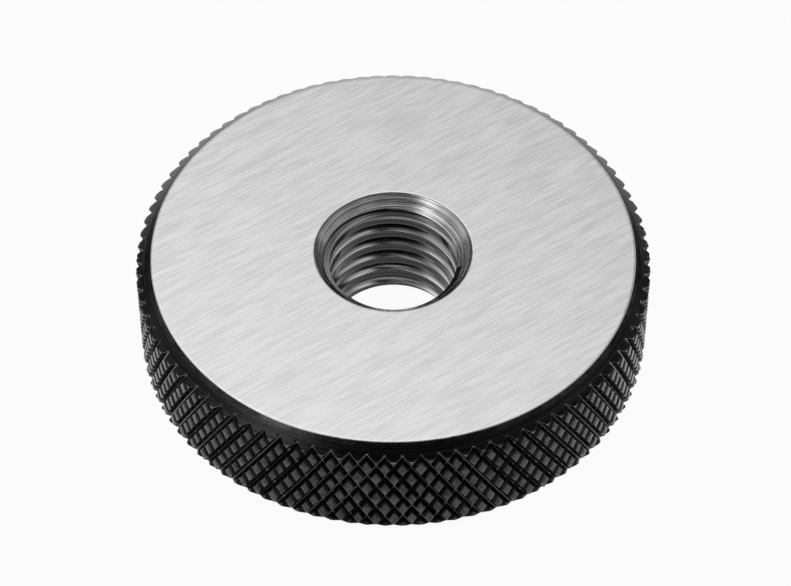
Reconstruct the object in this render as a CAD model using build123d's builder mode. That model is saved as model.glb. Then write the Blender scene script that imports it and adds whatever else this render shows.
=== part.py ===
from build123d import *
import math
import os

# Thread ring gauge: one steel ring, turned all over, with a diamond-knurled rim, a chamfer
# between each face and the rim, and a bore for an internal screw thread with a countersink at
# each end. Millimetres, +Z along the bore, the origin at the centre of the lower face.

# Ring
outer_diameter = 32.0  # over the tops of the knurl
thickness = 8.0
chamfer_width = 1.0  # radial size of the chamfer between each face and the rim
upper_chamfer_height = 0.8  # axial sizes of the two chamfers
lower_chamfer_height = 1.0

# Bore, at the crest of an M9 x 1.25 internal thread. It is the thread of a not-go ring, whose
# crests are cut back to a tenth of the pitch inside the pitch line.
thread_diameter = 9.0
thread_pitch = 1.25
crest_height = thread_pitch / 10  # from the pitch line in to the crest
sink_angle = 45.0  # a countersink's slope, from its face
upper_mouth_diameter = 9.86
lower_mouth_diameter = 8.24

# Diamond knurl: two families of V-grooves that lean left and right and leave flat diamonds
knurl_count = 92  # grooves in each family
knurl_depth = 0.34
flat_share = 0.52  # a diamond's flat top, as a share of the diamond between groove bottoms
rows_between_chamfers = 7  # steps of crossings between the two chamfers

# Worked out from the sizes above
outer_radius = outer_diameter / 2
face_radius = outer_radius - chamfer_width
upper_slope = upper_chamfer_height / chamfer_width
lower_slope = lower_chamfer_height / chamfer_width
sharp_thread_height = thread_pitch * math.sqrt(3) / 2
pitch_radius = thread_diameter / 2 - 3 / 8 * sharp_thread_height
crest_radius = pitch_radius - crest_height
sink_slope = math.tan(math.radians(sink_angle))
upper_mouth_radius = upper_mouth_diameter / 2
lower_mouth_radius = lower_mouth_diameter / 2
upper_sink_depth = (upper_mouth_radius - crest_radius) * sink_slope
lower_sink_depth = (lower_mouth_radius - crest_radius) * sink_slope

# The knurl's grooves cross in rows. The outermost rows lie on the chamfers, so that each pair of
# grooves meets there and leaves a row of scallops.
pitch_angle = 360 / knurl_count
half_pitch = math.radians(pitch_angle / 2)
groove_radius = outer_radius - knurl_depth
upper_crossing = thickness - upper_slope * (groove_radius - face_radius)
lower_crossing = lower_slope * (groove_radius - face_radius)
row_height = (upper_crossing - lower_crossing) / rows_between_chamfers
knurl_middle = (upper_crossing + lower_crossing) / 2
flat_radius = outer_radius * math.cos(flat_share * half_pitch)


def flat_face(*corners):
    return Face(Wire.make_polygon(corners, close=True))


# One diamond, pointing along +X: four corners at the groove bottoms, and walls that lean towards
# one apex and stop at the flat top. All five faces are planes.
def diamond_faces():
    apex = Vector(groove_radius + (flat_radius - groove_radius) / (1 - flat_share), 0, 0)
    side = Vector(groove_radius * math.cos(half_pitch), groove_radius * math.sin(half_pitch), 0)
    bottoms = [
        Vector(groove_radius, 0, row_height),
        side,
        Vector(groove_radius, 0, -row_height),
        Vector(side.X, -side.Y, 0),
    ]
    tops = [apex + (foot - apex) * ((apex.X - flat_radius) / (apex.X - foot.X)) for foot in bottoms]
    walls = [flat_face(bottoms[i - 1], bottoms[i], tops[i], tops[i - 1]) for i in range(4)]
    return [flat_face(*tops)] + walls


# Point at a groove's bottom, a whole number of half pitches round the ring.
def groove_point(step, height):
    return Vector(
        groove_radius * math.cos(step * half_pitch),
        groove_radius * math.sin(step * half_pitch),
        height,
    )


# The knurl as one closed body, somewhat taller than the ring: rows of diamonds, each row half a
# pitch round from the last, and a low cone of triangles over each end.
def knurled_body():
    rows_each_way = math.ceil(thickness / 2 / row_height)
    diamond = diamond_faces()
    faces = []
    for row in range(-rows_each_way, rows_each_way):
        height = knurl_middle + (row + 0.5) * row_height
        turn = pitch_angle / 2 * ((row + 1) % 2)
        for column in range(knurl_count):
            place = Location((0, 0, height), (0, 0, turn + column * pitch_angle))
            faces += [face.moved(place) for face in diamond]
    for side, row in ((1, rows_each_way - 1), (-1, -rows_each_way)):
        middle = knurl_middle + (row + 0.5) * row_height
        edge_heights = [middle, middle]
        edge_heights[(row + 1) % 2] += side * row_height
        peak = Vector(0, 0, knurl_middle + side * thickness)
        for step in range(2 * knurl_count):
            start = groove_point(step, edge_heights[step % 2])
            end = groove_point(step + 1, edge_heights[(step + 1) % 2])
            faces.append(flat_face(start, end, peak))
    return Solid(Shell(faces))


knurl = knurled_body()

# The ring is its half section carried round the axis. The chamfers run on past the rim, and the
# knurl then gives the rim its form.
overrun = chamfer_width
rim_radius = outer_radius + overrun
upper_rim_height = thickness - upper_chamfer_height - overrun * upper_slope
lower_rim_height = lower_chamfer_height + overrun * lower_slope
with BuildPart() as gauge_ring:
    with BuildSketch(Plane.XZ):
        with BuildLine():
            Polyline(
                (crest_radius, lower_sink_depth),
                (lower_mouth_radius, 0),
                (face_radius, 0),
                (rim_radius, lower_rim_height),
                (rim_radius, upper_rim_height),
                (face_radius, thickness),
                (upper_mouth_radius, thickness),
                (crest_radius, thickness - upper_sink_depth),
                close=True,
            )
        make_face()
    revolve(axis=Axis.Z)
    add(knurl, mode=Mode.INTERSECT)
gauge_ring.part.label = "gauge_ring"

os.makedirs("parts", exist_ok=True)
export_step(gauge_ring.part, "parts/gauge_ring.step")
print("bore radius", round(crest_radius, 4), "over a length of", end=" ")
print(round(thickness - upper_sink_depth - lower_sink_depth, 3))
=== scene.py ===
import math

import bmesh
import bpy
import numpy as np
from mathutils import Matrix, Vector


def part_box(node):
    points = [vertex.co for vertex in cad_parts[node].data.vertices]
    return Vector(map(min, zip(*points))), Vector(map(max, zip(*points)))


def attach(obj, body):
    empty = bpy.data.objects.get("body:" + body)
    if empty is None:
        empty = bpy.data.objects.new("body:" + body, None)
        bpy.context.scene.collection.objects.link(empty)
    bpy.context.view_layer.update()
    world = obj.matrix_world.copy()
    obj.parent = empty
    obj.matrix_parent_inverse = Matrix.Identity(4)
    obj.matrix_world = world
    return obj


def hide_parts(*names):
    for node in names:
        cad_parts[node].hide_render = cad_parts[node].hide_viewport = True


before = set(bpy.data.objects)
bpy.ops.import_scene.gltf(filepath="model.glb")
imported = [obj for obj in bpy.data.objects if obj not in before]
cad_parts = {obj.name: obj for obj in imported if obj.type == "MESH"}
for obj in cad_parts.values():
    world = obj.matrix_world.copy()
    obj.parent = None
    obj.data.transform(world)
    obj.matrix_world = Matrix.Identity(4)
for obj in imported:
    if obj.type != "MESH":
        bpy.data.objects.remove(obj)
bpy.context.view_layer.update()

# The ring stands on its lower face with its bore along +Z. Sizes are in millimetres and become
# metres where a mesh is made.
mm = 0.001
low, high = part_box("gauge_ring")
ring = {
    "thickness": (high[2] - low[2]) / mm,
    "outerRadius": (high[0] - low[0]) / 2 / mm,  # over the tops of the knurl
    "blankRadius": 16.0,  # of the plain rim that the chamfers and grooves are measured from
    "chamferWidth": 1.0,
    "upperChamferHeight": 0.8,
    "lowerChamferHeight": 1.0,
    "edgeBreak": 0.07,  # rounding between a face and its chamfer
    "edgeSteps": 4,
    "beside": 0.04,  # from a rounding to one more ring of points, which keeps its shading narrow
    "columns": 276,  # points round the chamfers
    "middleRadius": 7.5,  # where the face's outer rings of points end
    "middleGap": 0.6,  # from there to its inner rings
}
top = ring["thickness"]
faceRadius = ring["blankRadius"] - ring["chamferWidth"]
upperSlope = ring["upperChamferHeight"] / ring["chamferWidth"]
lowerSlope = ring["lowerChamferHeight"] / ring["chamferWidth"]


# A profile of (radius, height) carried round the axis: x and y are the radius times the cosine
# and the sine of evenly spaced angles, z is the height, and each profile point makes one row.
def turned(profile, columns):
    angle = np.arange(columns) * 2 * np.pi / columns
    radius = np.repeat(profile[:, :1], columns, axis=1)
    height = np.repeat(profile[:, 1:2], columns, axis=1)
    return np.stack([radius * np.cos(angle), radius * np.sin(angle), height], axis=-1).reshape(-1, 3)


# Triangles of a grid that closes on itself round the axis: each point, the next in its row and
# the two above them make a quad, which is cut in two along its diagonal.
def gridTriangles(rows, columns, first):
    row, column = np.mgrid[0 : rows - 1, 0:columns]
    after = (column + 1) % columns
    a = row * columns + column
    b = row * columns + after
    c = (row + 1) * columns + after
    d = (row + 1) * columns + column
    quads = np.stack([a, b, c, d], axis=-1).reshape(-1, 4) + first
    return np.concatenate([quads[:, [0, 1, 2]], quads[:, [0, 2, 3]]])


# Two closed rings with different counts are joined: each step round one ring makes a triangle
# with the point last passed on the other, in order of the angle round the axis.
def joinRings(points, ringA, ringB):
    angleA = np.arctan2(points[ringA, 1], points[ringA, 0]) % (2 * np.pi)
    angleB = np.arctan2(points[ringB, 1], points[ringB, 0]) % (2 * np.pi)
    orderA, orderB = np.argsort(angleA), np.argsort(angleB)
    ringA, angleA = ringA[orderA], angleA[orderA]
    ringB, angleB = ringB[orderB], angleB[orderB]
    passedB = np.searchsorted(angleB, angleA, side="right") - 1
    passedA = np.searchsorted(angleA, angleB, side="left") - 1
    alongA = np.stack([np.roll(ringA, 1), ringA, ringB[passedB]], axis=-1)
    alongB = np.stack([ringB, np.roll(ringB, 1), ringA[passedA]], axis=-1)
    return np.concatenate([alongA, alongB])


# Triangles that a value changes sign over are cut along its zero line. On a cut edge the new
# point's share of the way is the first end's value over the difference of both ends' values,
# and the extra values take the same share. A cut triangle becomes two or three.
def cutAlong(points, triangles, value, extra):
    snap = 1e-4  # a value this near zero counts as zero
    count = len(points)
    value = np.where(np.abs(value) < snap, 0.0, value)
    start = triangles
    end = np.roll(triangles, -1, axis=1)
    crossed = value[start] * value[end] < 0
    key = np.minimum(start, end) * count + np.maximum(start, end)
    cutKey, place = np.unique(key[crossed], return_inverse=True)
    one, two = cutKey // count, cutKey % count
    share = value[one] / (value[one] - value[two])
    added = points[one] + (points[two] - points[one]) * share[:, None]
    middle = np.full(triangles.shape, -1)
    middle[crossed] = count + place
    crossings = crossed.sum(axis=1)
    pieces = [triangles[crossings == 0]]
    for kind in (1, 2):
        chosen = triangles[crossings == kind]
        cuts = middle[crossings == kind]
        flags = crossed[crossings == kind]
        odd = np.argmax(flags if kind == 1 else ~flags, axis=1)  # the edge that is unlike the others
        turn = (odd[:, None] - 1 + np.arange(3)) % 3  # brings that edge between corners 1 and 2
        a, b, c = np.take_along_axis(chosen, turn, axis=1).T
        ab, bc, ca = np.take_along_axis(cuts, turn, axis=1).T
        if kind == 1:
            pieces += [np.stack([a, b, bc], axis=-1), np.stack([a, bc, c], axis=-1)]
        else:
            pieces += [
                np.stack([a, ab, ca], axis=-1),
                np.stack([ab, b, c], axis=-1),
                np.stack([ab, c, ca], axis=-1),
            ]
    carried = [np.concatenate([e, e[one] + (e[two] - e[one]) * share]) for e in extra]
    value = np.concatenate([value, np.zeros(len(added))])
    return np.concatenate([points, added]), np.concatenate(pieces), value, carried


# What lies above a height (side 1) or below it (side -1) is cut off, the cut's points are set
# level with it, and points that no triangle uses are left out.
def trimmed(points, triangles, height, side, extra):
    value = (points[:, 2] - height) * side
    points, triangles, value, extra = cutAlong(points, triangles, value, extra)
    points[value == 0, 2] = height
    triangles = triangles[(value[triangles] <= 0).all(axis=1)]
    return compacted(points, triangles, extra)


# Points that no triangle uses are left out, and the rest are numbered again.
def compacted(points, triangles, extra):
    used, place = np.unique(triangles, return_inverse=True)
    return points[used], place.reshape(-1, 3), [e[used] for e in extra]


# Distance of each point from the axis: the root of x squared plus y squared.
def radiusOf(points):
    return np.hypot(points[:, 0], points[:, 1])


# Points moved straight out or in: x and y times the wanted radius over the present one.
def movedTo(points, wanted):
    scale = wanted / radiusOf(points)
    return points * np.stack([scale, scale, np.ones(len(points))], axis=-1)


knurl = {
    "count": 92,  # grooves in each family
    "depth": 0.34,
    "rows": 7,  # steps of crossings between the two chamfers
    # a groove's section: distances from its middle line, in steps, and how far its wall has risen
    "across": np.array([0, 0.035, 0.225, 0.265, 0.5]),
    "rise": np.array([0.0, 0.04, 0.95, 1.0, 1.0]),
    "hollow": 0.018,  # how far a groove widens between two crossings, as a share of the step
    "shift": 0.07,  # how far a groove strays, as a share of the same step
    "depthSpread": 0.10,  # how far a groove's depth strays, as a share of the depth
    "creaseWidth": 0.03,  # softened zone each side of where the knurl meets a chamfer
    "creaseDrop": 0.012,
    "topMargin": 0.42,  # from the upper face to above all that the grooves reach on its chamfer
    "bottomMargin": 0.5,  # the same below
    "seed": 4,
}
grooveRadius = ring["blankRadius"] - knurl["depth"]
upperCrossing = top - upperSlope * (grooveRadius - faceRadius)
lowerCrossing = lowerSlope * (grooveRadius - faceRadius)
rowHeight = (upperCrossing - lowerCrossing) / knurl["rows"]
knurlMiddle = (upperCrossing + lowerCrossing) / 2
rimTop = top - knurl["topMargin"]
rimBottom = knurl["bottomMargin"]


# Radius of the chamfers at a height: the face's radius plus the distance from the face over the
# chamfer's slope, for whichever chamfer gives less.
def chamferRadius(height):
    return faceRadius + np.minimum(height / lowerSlope, (top - height) / upperSlope)


# The knurl at groove coordinates u and v, which are whole numbers on the grooves of either
# family. The angle goes with u plus v and the height with u less v, and the radius is the outer
# one less the groove depth times the drop of the deeper family there. Each family's points stray
# by its grooves' own shifts, and by the sine of 2 pi u times the squared sine of pi v.
def knurlPoints(u, v):
    chance = np.random.default_rng(knurl["seed"])
    count = knurl["count"]
    strayU, strayV = chance.uniform(-1, 1, (2, count)) * knurl["shift"]
    deepU, deepV = 1 + chance.uniform(-1, 1, (2, count)) * knurl["depthSpread"]

    # a table's value between two grooves, in proportion to the distances from them
    def between(table, x):
        cell = np.floor(x).astype(int)
        share = x - cell
        return table[cell % count] * (1 - share) + table[(cell + 1) % count] * share

    # one less the wall's rise at this distance from the nearest groove, times that groove's depth
    def fall(x, deep):
        near = np.abs(x - np.round(x))
        rise = np.interp(near, knurl["across"], knurl["rise"])
        return (1 - rise) * deep[np.round(x).astype(int) % count]

    drop = np.maximum(fall(u, deepU), fall(v, deepV))
    radius = ring["outerRadius"] - knurl["depth"] * drop
    hollowU = np.sin(2 * np.pi * u) * np.sin(np.pi * v) ** 2
    hollowV = np.sin(2 * np.pi * v) * np.sin(np.pi * u) ** 2
    u = u + between(strayU, u) + knurl["hollow"] * hollowU
    v = v + between(strayV, v) + knurl["hollow"] * hollowV
    angle = (u + v) * np.pi / count
    height = knurlMiddle + (u - v + 0.5) * rowHeight
    return np.stack([radius * np.cos(angle), radius * np.sin(angle), height, drop], axis=-1)


# The rim is a grid of diamonds in groove coordinates. Where its radius is more than the
# chamfer's at the same height it is cut and laid on the chamfer.
def rimSurface():
    across = knurl["across"]
    nodes = np.concatenate([across, 1 - across[-2::-1]])
    steps = len(nodes) - 1
    slants = math.ceil(top / 2 / rowHeight)
    diamond, slant = np.mgrid[0 : knurl["count"], -slants:slants]
    a, b = np.mgrid[0 : steps + 1, 0 : steps + 1]
    v = diamond[..., None, None] + nodes[b]
    u = (diamond + slant)[..., None, None] + nodes[a]
    points = knurlPoints(u, v).reshape(-1, 4)
    # neighbouring diamonds share the points that they have at the same place round the ring
    indexV = diamond[..., None, None] * steps + b
    indexU = (diamond + slant)[..., None, None] * steps + a
    rows = 4 * slants * steps
    key = (indexV % (knurl["count"] * steps)) * rows + (indexU - indexV) + rows // 2
    _, first, place = np.unique(key.reshape(-1), return_index=True, return_inverse=True)
    points, groove = points[first, :3], points[first, 3]
    place = place.reshape(key.shape)
    corners = [place[..., :-1, :-1], place[..., 1:, :-1], place[..., 1:, 1:], place[..., :-1, 1:]]
    c0, c1, c2, c3 = [c.reshape(-1) for c in corners]
    i, j = np.mgrid[0:steps, 0:steps]
    rising = (i < steps / 2) == (j < steps / 2)  # the quad's cut runs out from the nearest corner
    rising = np.broadcast_to(rising, corners[0].shape).reshape(-1)
    along = np.concatenate([np.stack([c0, c1, c2], -1)[rising], np.stack([c0, c2, c3], -1)[rising]])
    across = np.concatenate([np.stack([c0, c1, c3], -1)[~rising], np.stack([c1, c2, c3], -1)[~rising]])
    triangles = np.concatenate([along, across])

    over = radiusOf(points) - chamferRadius(points[:, 2])
    soft = knurl["creaseWidth"]
    for level in (-soft, soft, 0.0):
        points, triangles, _, (over, groove) = cutAlong(points, triangles, over - level, (over, groove))
    # this mark is 1 on the upper crease and falls to 0 at the softened zone's edges; it lowers the
    # crease, and lightens it in patches that are partly worn bare metal and partly a painted highlight
    creaseWearAndSheen = np.clip(1 - np.abs(over) / soft, 0, 1) * (points[:, 2] > top / 2)
    wanted = np.where(over >= 0, chamferRadius(points[:, 2]), radiusOf(points))
    points = movedTo(points, wanted - knurl["creaseDrop"] * creaseWearAndSheen)
    groove = np.where(over >= 0, -1.0, groove)
    for height, side in ((rimTop, 1), (rimBottom, -1)):
        points, triangles, (groove, creaseWearAndSheen) = trimmed(points, triangles, height, side, (groove, creaseWearAndSheen))
    onEdge = (np.abs(points[:, 2] - rimTop) < 1e-6) | (np.abs(points[:, 2] - rimBottom) < 1e-6)
    points = movedTo(points, np.where(onEdge, chamferRadius(points[:, 2]), radiusOf(points)))
    return points, triangles, creaseWearAndSheen, groove


thread = {
    "pitch": 1.25,
    "rootRadius": 4.5,
    "crestRadius": 3.9691,
    "flankAngle": 30,  # degrees, from square to the axis
    "rootFlat": 1.25 / 16,  # half the flat at a groove's bottom, which is an eighth of the pitch
    "rootPoint": (0.6, 0.985),  # a share of that half width, and how deep the root is there
    "flankShares": np.array([0.14, 0.5, 0.88]),  # of the way up a flank
    "crestPoint": (0.02, 0.05),  # distance before the crest's edge, and how deep the flank is there
    "crestStart": 0.03,  # past that edge, where the crest is reached
    "start": 6.97,  # height of a groove's middle on the far wall
    "grooves": (-8, 3),  # from this one up to before that one
    "overrun": 0.6,  # built past each face, and then cut off
    "columns": 216,
    "upperMouth": 4.93,
    "lowerMouth": 4.12,
    "mouthBreak": 0.05,
    "mouthSteps": 3,
}
threadDepth = thread["rootRadius"] - thread["crestRadius"]
flankRun = threadDepth * math.tan(math.radians(thread["flankAngle"]))
crestEdge = thread["rootFlat"] + flankRun  # from a groove's middle, along the axis


# The countersinks' radius at a height: the mouth's less the distance from the face, as they
# slope at 45 degrees.
def upperSink(height):
    return thread["upperMouth"] - (top - height)


def lowerSink(height):
    return thread["lowerMouth"] - height


# The bore is the thread's profile, raised by one pitch a turn. Its radius is the crest's plus
# the depth times the profile's level, and where a countersink reaches further out than that,
# the countersink takes its place.
def boreSurface():
    pitch = thread["pitch"]
    share = thread["flankShares"]
    rootShare, rootLevel = thread["rootPoint"]
    crestBefore, crestLevel = thread["crestPoint"]
    outward = np.concatenate([[0, rootShare * thread["rootFlat"]], thread["rootFlat"] + share * flankRun,
                              [crestEdge - crestBefore, crestEdge + thread["crestStart"]]])
    level = np.concatenate([[1, rootLevel], 1 - share, [crestLevel, 0.0]])
    form = np.concatenate([-outward[:0:-1], outward])
    level = np.concatenate([level[:0:-1], level])
    turns = np.arange(*thread["grooves"])
    height = (form + turns[:, None] * pitch).reshape(-1)
    radius = np.tile(thread["crestRadius"] + threadDepth * level, len(turns))
    columns = thread["columns"]
    angle = np.arange(columns) * 2 * np.pi / columns
    height = height[:, None] + thread["start"] + pitch * (angle / (2 * np.pi) - 0.25)
    # the last column meets the first one turn up, so the grid runs on for one column
    angle = np.append(angle, 2 * np.pi)
    height = np.concatenate([height, height[:, :1] + pitch], axis=1)
    radius = np.repeat(radius[:, None], columns + 1, axis=1)
    points = np.stack([radius * np.cos(angle), radius * np.sin(angle), height], axis=-1)
    rows = len(height)
    perTurn = len(form)
    row, column = np.mgrid[0 : rows - 1, 0:columns]
    index = np.arange(rows * (columns + 1)).reshape(rows, columns + 1)
    index[: rows - perTurn, -1] = index[perTurn:, 0]
    a, b = index[row, column], index[row, column + 1]
    c, d = index[row + 1, column + 1], index[row + 1, column]
    quads = np.stack([a, b, c, d], axis=-1).reshape(-1, 4)
    triangles = np.concatenate([quads[:, [0, 2, 1]], quads[:, [0, 3, 2]]])
    points = points.reshape(-1, 3)
    level = np.repeat(np.tile(level, len(turns))[:, None], columns + 1, axis=1).reshape(-1)
    past = thread["overrun"]
    inside = (points[:, 2] > -past) & (points[:, 2] < top + past)
    triangles = triangles[inside[triangles].all(axis=1)]
    points, triangles, (level,) = compacted(points, triangles, (level,))

    for sink in (upperSink, lowerSink):
        gap = radiusOf(points) - sink(points[:, 2])
        points, triangles, gap, (level,) = cutAlong(points, triangles, gap, (level,))
        level = np.where(gap < 0, 2.0, level)
        points = movedTo(points, np.where(gap <= 0, sink(points[:, 2]), radiusOf(points)))
    lip = thread["mouthBreak"]
    for height, side, sink in ((top - lip, 1, upperSink), (lip, -1, lowerSink)):
        points, triangles, (level,) = trimmed(points, triangles, height, side, (level,))
        onEdge = np.abs(points[:, 2] - height) < 1e-5
        points = movedTo(points, np.where(onEdge, sink(height), radiusOf(points)))
    return points, triangles, level


# A rounded corner: at a share t of the way, (1 - t) squared of the start, 2 t (1 - t) of the
# corner and t squared of the end.
def arcBetween(start, corner, end, steps):
    t = np.linspace(0, 1, steps + 1)[:, None]
    start, corner, end = (np.array(p) for p in (start, corner, end))
    return (1 - t) ** 2 * start + 2 * t * (1 - t) * corner + t ** 2 * end


# The whole ring: the rim, the faces' outer and inner rings of points and the bore, joined where
# they meet. Materials are numbered 0 for oxide, 1 for ground and 2 for turned steel.
def buildRing():
    rimPoints, rimTriangles, creaseWearAndSheen, groove = rimSurface()
    borePoints, boreTriangles, level = boreSurface()
    columns = ring["columns"]
    inner = thread["columns"]
    soft = ring["edgeBreak"]
    lip = thread["mouthBreak"]
    beside = ring["beside"]
    middle = ring["middleRadius"]

    # from the chamfer over the softened edge and in across the face; away is -1 below a face
    def outerProfile(slope, face, away):
        run = soft / math.hypot(1, slope)
        onChamfer = (faceRadius + run, face + away * run * slope)
        return np.concatenate([
            arcBetween(onChamfer, (faceRadius, face), (faceRadius - soft, face), ring["edgeSteps"]),
            [(faceRadius - soft - beside, face), (middle, face)],
        ])

    # in across the face and over the softened mouth, up to where the bore takes over
    def innerProfile(mouth, face, away):
        rounding = arcBetween((mouth + lip, face), (mouth, face), (mouth - lip, face + away * lip),
                              thread["mouthSteps"])
        return np.concatenate([
            [(middle - ring["middleGap"], face), (mouth + lip + beside, face)],
            rounding[:-1],
        ])

    outerUpper = outerProfile(upperSlope, top, -1)
    outerLower = outerProfile(lowerSlope, 0, 1)
    innerUpper = innerProfile(thread["upperMouth"], top, -1)
    innerLower = innerProfile(thread["lowerMouth"], 0, 1)
    groups = [rimPoints, turned(outerUpper, columns), turned(outerLower, columns),
              turned(innerUpper, inner), turned(innerLower, inner), borePoints]
    first = np.cumsum([0] + [len(g) for g in groups])
    points = np.concatenate(groups)

    def ringOf(group, row, count):
        return first[group] + row * count + np.arange(count)

    def flatRing(group, height):
        return first[group] + np.flatnonzero(np.abs(groups[group][:, 2] - height) < 1e-5)

    outerRows, innerRows = len(outerUpper), len(innerUpper)
    parts = [
        (rimTriangles, 0),
        (joinRings(points, flatRing(0, rimTop), ringOf(1, 0, columns)), 0),
        (joinRings(points, flatRing(0, rimBottom), ringOf(2, 0, columns))[:, ::-1], 0),
        (gridTriangles(outerRows, columns, first[1]), 1),
        (gridTriangles(outerRows, columns, first[2])[:, ::-1], 1),
        (joinRings(points, ringOf(1, outerRows - 1, columns), ringOf(3, 0, inner)), 1),
        (joinRings(points, ringOf(2, outerRows - 1, columns), ringOf(4, 0, inner))[:, ::-1], 1),
        (gridTriangles(innerRows, inner, first[3]), 1),
        (gridTriangles(innerRows, inner, first[4])[:, ::-1], 1),
        (joinRings(points, ringOf(3, innerRows - 1, inner), flatRing(5, top - lip)), 2),
        (joinRings(points, ringOf(4, innerRows - 1, inner), flatRing(5, lip))[:, ::-1], 2),
        (boreTriangles + first[5], 2),
    ]
    triangles = np.concatenate([t for t, _ in parts])
    materials = np.concatenate([np.full(len(t), m) for t, m in parts])
    marks = {name: np.zeros(len(points)) for name in ("creaseWearAndSheen", "groove", "level")}
    marks["creaseWearAndSheen"][: len(creaseWearAndSheen)] = creaseWearAndSheen
    marks["groove"][: len(groove)] = groove
    marks["level"][first[5]:] = level
    return points, triangles, materials, marks


# A mesh of these triangles, in metres, with each array of marks as an attribute of its points.
def makeMesh(name, points, triangles, materials, marks):
    made = bpy.data.meshes.new(name)
    made.vertices.add(len(points))
    made.vertices.foreach_set("co", (points * mm).astype(np.float32).ravel())
    made.loops.add(len(triangles) * 3)
    made.loops.foreach_set("vertex_index", triangles.astype(np.int32).ravel())
    made.polygons.add(len(triangles))
    made.polygons.foreach_set("loop_start", np.arange(0, len(triangles) * 3, 3, dtype=np.int32))
    made.polygons.foreach_set("material_index", materials.astype(np.int32))
    for layerName, values in marks.items():
        layer = made.attributes.new(layerName, "FLOAT", "POINT")
        layer.data.foreach_set("value", values.astype(np.float32))
    made.update(calc_edges=True)
    made.validate()
    return made


# Points closer than the merge distance become one, slivers are dissolved, what that leaves with
# more than three corners is cut into triangles, and all faces are turned outward.
def mergeSlivers(target):
    mergeDistance = 0.002 * mm
    work = bmesh.new()
    work.from_mesh(target)
    bmesh.ops.remove_doubles(work, verts=work.verts, dist=mergeDistance)
    bmesh.ops.dissolve_degenerate(work, edges=work.edges, dist=mergeDistance)
    bmesh.ops.triangulate(work, faces=work.faces)
    bmesh.ops.recalc_face_normals(work, faces=work.faces)
    work.to_mesh(target)
    work.free()


sharpAngle = 24  # degrees; steeper edges are shaded sharp
mesh = makeMesh("ring_gauge", *buildRing())
print("ring:", len(mesh.vertices), "points,", len(mesh.polygons), "triangles")
mergeSlivers(mesh)
mesh.shade_smooth()
mesh.set_sharp_from_angle(angle=math.radians(sharpAngle))
piece = bpy.data.objects.new("ring_gauge", mesh)
bpy.context.collection.objects.link(piece)
print("merged:", len(mesh.vertices), "points,", len(mesh.polygons), "triangles")


shadeBlack = 0.004  # painted shade: matt black for the thread's groove roots and the knurl's groove walls


# A shader socket. Sums, differences, products and powers of it add Math nodes.
class Value:
    def __init__(self, shader, socket):
        self.shader = shader
        self.socket = socket

    def __add__(self, other):
        return self.shader.math("ADD", self, other)

    def __radd__(self, other):
        return self.shader.math("ADD", other, self)

    def __sub__(self, other):
        return self.shader.math("SUBTRACT", self, other)

    def __rsub__(self, other):
        return self.shader.math("SUBTRACT", other, self)

    def __mul__(self, other):
        return self.shader.math("MULTIPLY", self, other)

    def __rmul__(self, other):
        return self.shader.math("MULTIPLY", other, self)

    def __pow__(self, other):
        return self.shader.math("POWER", self, other)


# The node tree of a material or of the world. Every node comes from its node method.
class Shader:
    def __init__(self, owner, kind="ShaderNodeOutputMaterial"):
        owner.use_nodes = True
        self.owner = owner
        self.tree = owner.node_tree
        self.tree.nodes.clear()
        self.end = self.tree.nodes.new(kind)

    def node(self, kind, settings=None, inputs=None, output=0):
        node = self.tree.nodes.new(kind)
        for name, value in (settings or {}).items():
            setattr(node, name, value)
        for name, value in (inputs or {}).items():
            if isinstance(value, Value):
                self.tree.links.new(value.socket, node.inputs[name])
            else:
                node.inputs[name].default_value = value
        return Value(self, node.outputs[output])

    def math(self, operation, *items):
        return self.node("ShaderNodeMath", {"operation": operation}, dict(enumerate(items)))

    # the object's own place, turned about Z and times a scale along each axis
    def objectPlace(self, turn, scale):
        place = self.node("ShaderNodeTexCoord", output="Object")
        return self.node("ShaderNodeMapping", {"vector_type": "TEXTURE"},
                         {"Vector": place, "Rotation": (0, 0, turn), "Scale": tuple(1 / k for k in scale)})

    def noise(self, place, detail, rough):
        return self.node("ShaderNodeTexNoise", None,
                         {"Vector": place, "Scale": 1.0, "Detail": detail, "Roughness": rough},
                         output="Fac")

    def mark(self, name):
        return self.node("ShaderNodeAttribute", {"attribute_name": name}, output="Fac")

    # x, y and z of a point of the object, in metres
    def coordinates(self):
        place = self.node("ShaderNodeTexCoord", output="Object")
        split = self.node("ShaderNodeSeparateXYZ", None, {"Vector": place})
        return [Value(self, split.socket.node.outputs[axis]) for axis in range(3)]

    # from 0 to 1 while a value goes from start to end
    def ramp(self, value, start, end):
        return self.node("ShaderNodeMapRange", {"interpolation_type": "SMOOTHSTEP"},
                         {"Value": value, "From Min": start, "From Max": end})

    # a share of the second colour and the rest of the first
    def blend(self, share, first, second):
        return self.node("ShaderNodeMix", {"data_type": "RGBA"}, {0: share, 6: first, 7: second}, output=2)

    # a share of the second surface and the rest of the first
    def mixed(self, share, first, second):
        return self.node("ShaderNodeMixShader", None, {0: share, 1: first, 2: second})

    def bump(self, strength, distance, height):
        return self.node("ShaderNodeBump", None, {
            "Strength": strength, "Distance": distance, "Height": height})

    def metal(self, colour, roughness, normal):
        return self.node("ShaderNodeBsdfPrincipled", None, {
            "Base Color": colour, "Metallic": 1.0, "Roughness": roughness, "Normal": normal})

    # a surface under a share of matt black, which paints shade on it
    def withPaintedShade(self, surface, share):
        matt = self.node("ShaderNodeBsdfDiffuse", None, {"Color": grey(shadeBlack)})
        return self.mixed(share, surface, matt)

    def finish(self, surface):
        self.tree.links.new(surface.socket, self.end.inputs["Surface"])
        return self.owner


# A grey times a tint's red, green and blue.
def grey(value, tint=(1, 1, 1)):
    return (value * tint[0], value * tint[1], value * tint[2], 1)


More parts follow.
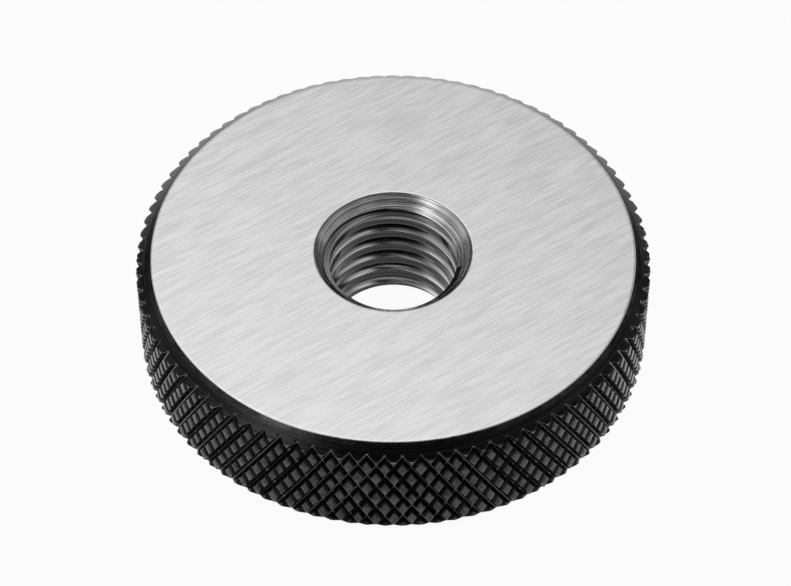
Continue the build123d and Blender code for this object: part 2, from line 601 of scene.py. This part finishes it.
groundFinish = {
    "dark": grey(0.66, (1, 1, 1.01)),
    "light": grey(0.89, (1, 0.995, 0.99)),
    "turn": math.radians(34),  # direction of the grinding
    "fine": (420, 7000, 1),  # streaks per metre along and across it
    "broad": (210, 1750, 1),
    "cloud": (90, 90, 90),  # slow changes over the whole face
    "fineNoise": (3, 0.6),  # detail and roughness of each noise
    "broadNoise": (2, 0.5),
    "cloudNoise": (3, 0.5),
    "fineShare": 0.65,
    "streakShare": 0.75,  # of the colour's change; the rest is the cloud's
    "contrast": (0.38, 0.62),
    "roughness": 0.26,
    "streakSpread": 0.066,  # how far the roughness ranges with the streaks
    "cloudSpread": 0.11,
    "bump": 0.16,
    "bumpDepth": 0.00002,
}


# Ground steel: fine and broad streaks of noise, stretched along the grinding. Colour goes from
# dark to light with the streaks and a slow cloud, and the roughness goes up and down with both.
def groundSteel():
    look = groundFinish
    s = Shader(bpy.data.materials.new("groundSteel"))
    fine = s.noise(s.objectPlace(look["turn"], look["fine"]), *look["fineNoise"])
    broad = s.noise(s.objectPlace(look["turn"], look["broad"]), *look["broadNoise"])
    cloud = s.noise(s.objectPlace(0, look["cloud"]), *look["cloudNoise"])
    streak = fine * look["fineShare"] + broad * (1 - look["fineShare"])
    sharp = s.ramp(streak, *look["contrast"])
    tone = sharp * look["streakShare"] + cloud * (1 - look["streakShare"])
    colour = s.blend(tone, look["dark"], look["light"])
    roughness = look["roughness"] + look["streakSpread"] * (sharp - 0.5) + look["cloudSpread"] * (cloud - 0.5)
    return s.finish(s.metal(colour, roughness, s.bump(look["bump"], look["bumpDepth"], streak)))


turnedFinish = {
    "dark": grey(0.22),
    "light": grey(0.86),
    "broadMarks": (6500, 130, 3, 0.6),  # rings and places round per metre, detail, roughness
    "fineMarks": (19500, 180, 2, 0.5),
    "broadShare": 0.55,
    "contrast": (0.38, 0.62),
    "markedAbove": (0.0063, 0.0067),  # the countersink and first flank carry coarse turning marks
    "threadLevels": (1.3, 1.7),  # the level mark is 2 on a countersink and up to 1 on the thread
    # in pitches past a crest's edge
    "crestFade": 0.022,
    "crestMiddle": (0.02, 0.07),
    # in pitches past the edge of a groove's bottom
    "rootFade": (0.02, 0.06),
    "flankOutOfShade": (0.02, -0.01),  # from there to before the crest's edge, over which the flank's painted shade fades out
    "firstOutOfShade": (0.05, 0.10),
    "crest": grey(0.036),  # painted shade: the crests are made dark
    # painted highlight along the crests' rims
    "crestRim": grey(0.16),
    # painted shade on a flank towards its root
    "flankPaintedShade": grey(0.02),
    "rootShade": 0.10,  # how bright a flank is near its root, against its crest edge
    "firstShade": 0.3,  # how much darker the first flank is
    # share of matt black painted on a groove's root as shade
    "rootPaintedShade": 0.85,
    "roughness": 0.12,
    "spread": 0.06,
    "roughFlank": 0.07,  # added on the first flank
    "bump": 0.9,
    "bumpDepth": 0.00003,
    "smoothBump": 0.04,  # share of the turning marks' height that is left below them
}


# Turning marks: noise that changes fast along the profile and slowly round the axis. Along a
# profile radius and distance from the ring's middle height grow together (way 1) or apart (-1).
def turningMarks(s, way, rings, around, detail, rough):
    x, y, z = s.coordinates()
    radius = (x * x + y * y) ** 0.5
    fromMiddle = s.math("ABSOLUTE", z - top / 2 * mm)
    across = (radius + fromMiddle * way) * rings
    at = s.node("ShaderNodeCombineXYZ", None, {"X": x * around, "Y": y * around, "Z": across})
    return s.noise(at, detail, rough)


# Pitches from the middle of the nearest groove, 0 to 0.5: the height over the pitch, less the
# turns that the helix has made to this angle.
def threadPhase(s):
    x, y, z = s.coordinates()
    angle = s.math("ARCTAN2", y, x)
    turn = (z - thread["start"] * mm) * (1 / thread["pitch"] / mm) - angle * (0.5 / math.pi) + 0.25
    return s.math("PINGPONG", turn, 0.5)


# Turned steel: turning marks give the colour, roughness and bump. On the thread a flank is
# bright along its crest edge and darker towards the root as painted shade, a groove's root is
# painted black as shade, and the crests are painted dark as shade with a painted highlight on
# their rims.
def turnedSteel():
    look = turnedFinish
    s = Shader(bpy.data.materials.new("turnedSteel"))
    fine = turningMarks(s, 1, *look["fineMarks"])
    broad = turningMarks(s, 1, *look["broadMarks"])
    height = broad * look["broadShare"] + fine * (1 - look["broadShare"])
    sharp = s.ramp(height, *look["contrast"])
    coarse = s.ramp(s.coordinates()[2], *look["markedAbove"])
    onThread = 1 - s.ramp(s.mark("level"), *look["threadLevels"])
    phase = threadPhase(s)
    edge = crestEdge / thread["pitch"]
    root = thread["rootFlat"] / thread["pitch"]
    onCrest = s.ramp(phase, edge, edge + look["crestFade"])
    midCrest = s.ramp(phase, edge + look["crestMiddle"][0], edge + look["crestMiddle"][1])
    onRoot = 1 - s.ramp(phase, root + look["rootFade"][0], root + look["rootFade"][1])
    # where a flank's painted shade fades out, from its root towards the crest's edge
    outOfShade = s.ramp(phase, root + look["flankOutOfShade"][0], edge + look["flankOutOfShade"][1])
    outOfShadeFirst = s.ramp(phase, root + look["firstOutOfShade"][0], root + look["firstOutOfShade"][1])
    flank = outOfShade * (1 - coarse) + outOfShadeFirst * coarse
    # painted shade: a flank is darker towards its root, and the first flank darker all over
    shade = look["rootShade"] + (1 - look["rootShade"]) * (1 - (1 - flank) * onThread)
    shade = shade * (1 - onThread * coarse * look["firstShade"])
    steel = s.blend(sharp, look["dark"], look["light"])
    # the crests are painted dark as shade, with a lighter rim as a painted highlight
    crest = s.blend(midCrest, look["crestRim"], look["crest"])
    colour = s.blend(onCrest * onThread, s.blend(shade, look["flankPaintedShade"], steel), crest)
    roughness = look["roughness"] + look["spread"] * (sharp - 0.5) + coarse * onThread * look["roughFlank"]
    marked = coarse * (1 - look["smoothBump"]) + look["smoothBump"]
    metal = s.metal(colour, roughness, s.bump(look["bump"], look["bumpDepth"], height * marked))
    # the roots of the thread's grooves are painted black as shade
    return s.finish(s.withPaintedShade(metal, onRoot * onThread * look["rootPaintedShade"]))


oxideFinish = {
    "dark": 0.016,
    "light": 0.040,
    "lightTint": (1, 1, 1.03),
    "rubbed": 1.5,  # how much lighter the knurl's flats are rubbed
    "marks": (9000, 150, 3, 0.6),  # rings and places round per metre, detail, roughness
    "contrast": (0.38, 0.62),
    "cloud": (1300, 1300, 1300),
    "speck": (9000, 9000, 5000),
    "speckTurn": 0.4,
    "cloudNoise": (3, 0.6),  # detail and roughness of each noise
    "speckNoise": (2, 0.6),
    "cloudShare": 0.6,
    "rubbedContrast": (0.40, 0.60),
    # the groove mark is -1 on the chamfers, 0 on a diamond's flat and 1 on a groove's bottom
    "onKnurl": (-0.8, -0.2),
    "onWall": (0.08, 0.24),
    "onBottom": (0.93, 0.99),
    "wallPaintedShade": 0.75,  # painted shade: matt black on the grooves' walls
    "bottom": grey(0.085),
    # lighter colour on the upper crease, partly worn bare metal and partly a painted highlight
    "wornAndSheen": grey(0.36),
    "onWornAndSheen": (0.2, 0.9),
    "wornAndSheenPatches": (0.35, 0.65),
    "roughness": 0.17,
    "spread": 0.08,
    "knurlRough": 0.06,
    "bump": 0.5,
    "bumpDepth": 0.00003,
    "speckBump": 0.4,
}


# Black oxide: turning marks on the chamfers, a rubbed cloud and specks on the knurl's flats,
# matt black on the grooves' walls as painted shade, and lighter patches along the upper crease
# that are partly worn bare metal and partly a painted highlight.
def blackOxide():
    look = oxideFinish
    s = Shader(bpy.data.materials.new("blackOxide"))
    groove = s.mark("groove")
    onKnurl = s.ramp(groove, *look["onKnurl"])
    bottom = s.ramp(groove, *look["onBottom"])
    marks = turningMarks(s, -1, *look["marks"])
    cloud = s.noise(s.objectPlace(0, look["cloud"]), *look["cloudNoise"])
    speck = s.noise(s.objectPlace(look["speckTurn"], look["speck"]), *look["speckNoise"])
    turnedLook = s.ramp(marks, *look["contrast"])
    rubbing = cloud * look["cloudShare"] + speck * (1 - look["cloudShare"])
    rubbedLook = s.ramp(rubbing, *look["rubbedContrast"])
    plain = s.blend(turnedLook, grey(look["dark"]), grey(look["light"], look["lightTint"]))
    rubbed = s.blend(rubbedLook, grey(look["dark"] * look["rubbed"]),
                     grey(look["light"] * look["rubbed"], look["lightTint"]))
    colour = s.blend(bottom, s.blend(onKnurl, plain, rubbed), look["bottom"])
    # lighter patches along the upper crease: partly worn bare metal, partly a painted highlight
    patches = s.ramp(s.mark("creaseWearAndSheen"), *look["onWornAndSheen"]) * s.ramp(cloud, *look["wornAndSheenPatches"])
    colour = s.blend(patches, colour, look["wornAndSheen"])
    roughness = look["roughness"] + look["spread"] * (turnedLook - 0.5) + onKnurl * look["knurlRough"]
    height = marks * (1 - onKnurl) + speck * onKnurl * look["speckBump"]
    oxide = s.metal(colour, roughness, s.bump(look["bump"], look["bumpDepth"], height))
    # the grooves' walls, not their bottoms, are painted black as shade
    wall = s.ramp(groove, *look["onWall"]) * (1 - bottom)
    return s.finish(s.withPaintedShade(oxide, wall * look["wallPaintedShade"]))


for finish in (blackOxide, groundSteel, turnedSteel):
    mesh.materials.append(finish())
print("materials:", len(mesh.materials))
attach(piece, "root")
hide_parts("gauge_ring")


studio = {
    "floorColour": grey(0.8),
    "floorWhite": 0.95,  # how far the floor is shown as plain white paper
    "floorSize": 0.6,
    "base": 0.30,  # even light from the whole room
    "low": 0.28,  # added near the horizon
    "lowFade": (0.38, 0.60),  # upward share of a direction, over which that fades
    # softboxes: direction to the middle, degrees to the full and to the fading edge, strength
    "boxes": [
        ((-0.18, 0.33, 0.93), 10, 37, 0.90),
        ((0.0, -0.24, 0.97), 4, 11, 0.12),
        ((-0.545, -0.405, 0.73), 3, 14, 1.5),
        ((-0.76, -0.40, 0.50), 8, 22, 0.45),
        ((-0.62, 0.08, 0.78), 14, 25, 0.14),
        ((0.64, 0.05, 0.765), 14, 27, 0.32),
        ((0.0, -1.0, 0.0), 16, 33, 0.6),
    ],
    # black cards: direction, degrees to the full and to the fading edge, share of the base kept out
    "cards": [
        ((0.0, -0.62, 0.78), 24, 33, 0.50),
        ((0.0, -0.30, 0.95), 18, 27, 0.75),
        ((0.80, 0.60, 0.0), 12, 22, 0.85),
        ((-0.80, 0.60, 0.0), 12, 22, 0.85),
        ((0.86, -0.15, 0.48), 20, 36, 0.62),
    ],
}


# Pale paper for what falls on it, and plain white for rays that look at it.
def paperFloor():
    s = Shader(bpy.data.materials.new("paperFloor"))
    rays = [s.node("ShaderNodeLightPath", output=name)
            for name in ("Is Camera Ray", "Is Glossy Ray", "Is Transmission Ray")]
    shown = s.math("MINIMUM", rays[0] + rays[1] + rays[2], 1.0) * studio["floorWhite"]
    paper = s.node("ShaderNodeBsdfDiffuse", None, {"Color": studio["floorColour"]})
    white = s.node("ShaderNodeEmission", None, {"Color": grey(1.0), "Strength": 1.0})
    return s.finish(s.mixed(shown, paper, white))


reach = studio["floorSize"] / 2
floorCorners = [(-reach, -reach, 0), (reach, -reach, 0), (reach, reach, 0), (-reach, reach, 0)]
floorMesh = bpy.data.meshes.new("floor")
floorMesh.from_pydata(floorCorners, [], [(0, 1, 2, 3)])
floorMesh.materials.append(paperFloor())
floor = bpy.data.objects.new("floor", floorMesh)
bpy.context.collection.objects.link(floor)


# The room's light is the base plus the low band, times what each black card lets past, plus
# each softbox. The camera sees it plain white.
def roomLight():
    s = Shader(bpy.data.worlds.new("room"), "ShaderNodeOutputWorld")
    direction = s.node("ShaderNodeTexCoord", output="Generated")
    height = s.node("ShaderNodeSeparateXYZ", None, {"Vector": direction}, output=2)

    # 1 near a direction, fading to 0: the dot product runs between the two edges' cosines
    def spot(middle, full, edge):
        near = s.node("ShaderNodeVectorMath", {"operation": "DOT_PRODUCT"},
                      {0: direction, 1: tuple(Vector(middle).normalized())}, output="Value")
        return s.ramp(near, math.cos(math.radians(edge)), math.cos(math.radians(full)))

    light = studio["base"] + studio["low"] * (1 - s.ramp(height, *studio["lowFade"]))
    for middle, full, edge, share in studio["cards"]:
        light = light * (1 - spot(middle, full, edge) * share)
    for middle, full, edge, strength in studio["boxes"]:
        light = light + spot(middle, full, edge) * strength
    seen = s.node("ShaderNodeLightPath", output="Is Camera Ray")
    strength = light * (1 - seen) + seen
    return s.finish(s.node("ShaderNodeBackground", None, {"Color": grey(1.0), "Strength": strength}))


bpy.context.scene.world = roomLight()
print("room:", len(studio["boxes"]), "softboxes,", len(studio["cards"]), "cards")

view = {
    "place": (0.000136, -0.132196, 0.158450),
    "elevation": math.radians(49.44505723677525),
    "roll": -0.00217580514,
    "lens": 146.88,
    "sensorWidth": 36.0,
}
cameraData = bpy.data.cameras.new("camera")
cameraData.lens = view["lens"]
cameraData.sensor_width = view["sensorWidth"]
camera = bpy.data.objects.new("camera", cameraData)
bpy.context.collection.objects.link(camera)
right = Vector((1, 0, 0))
up = Vector((0, math.sin(view["elevation"]), math.cos(view["elevation"])))
back = Vector((0, -math.cos(view["elevation"]), math.sin(view["elevation"])))
cameraX = math.cos(view["roll"]) * right + math.sin(view["roll"]) * up
cameraY = -math.sin(view["roll"]) * right + math.cos(view["roll"]) * up
rows = [(*axes, place) for *axes, place in zip(cameraX, cameraY, back, view["place"])]
camera.matrix_world = Matrix((*rows, (0, 0, 0, 1)))
bpy.context.scene.camera = camera
bpy.context.scene.view_settings.view_transform = "Standard"
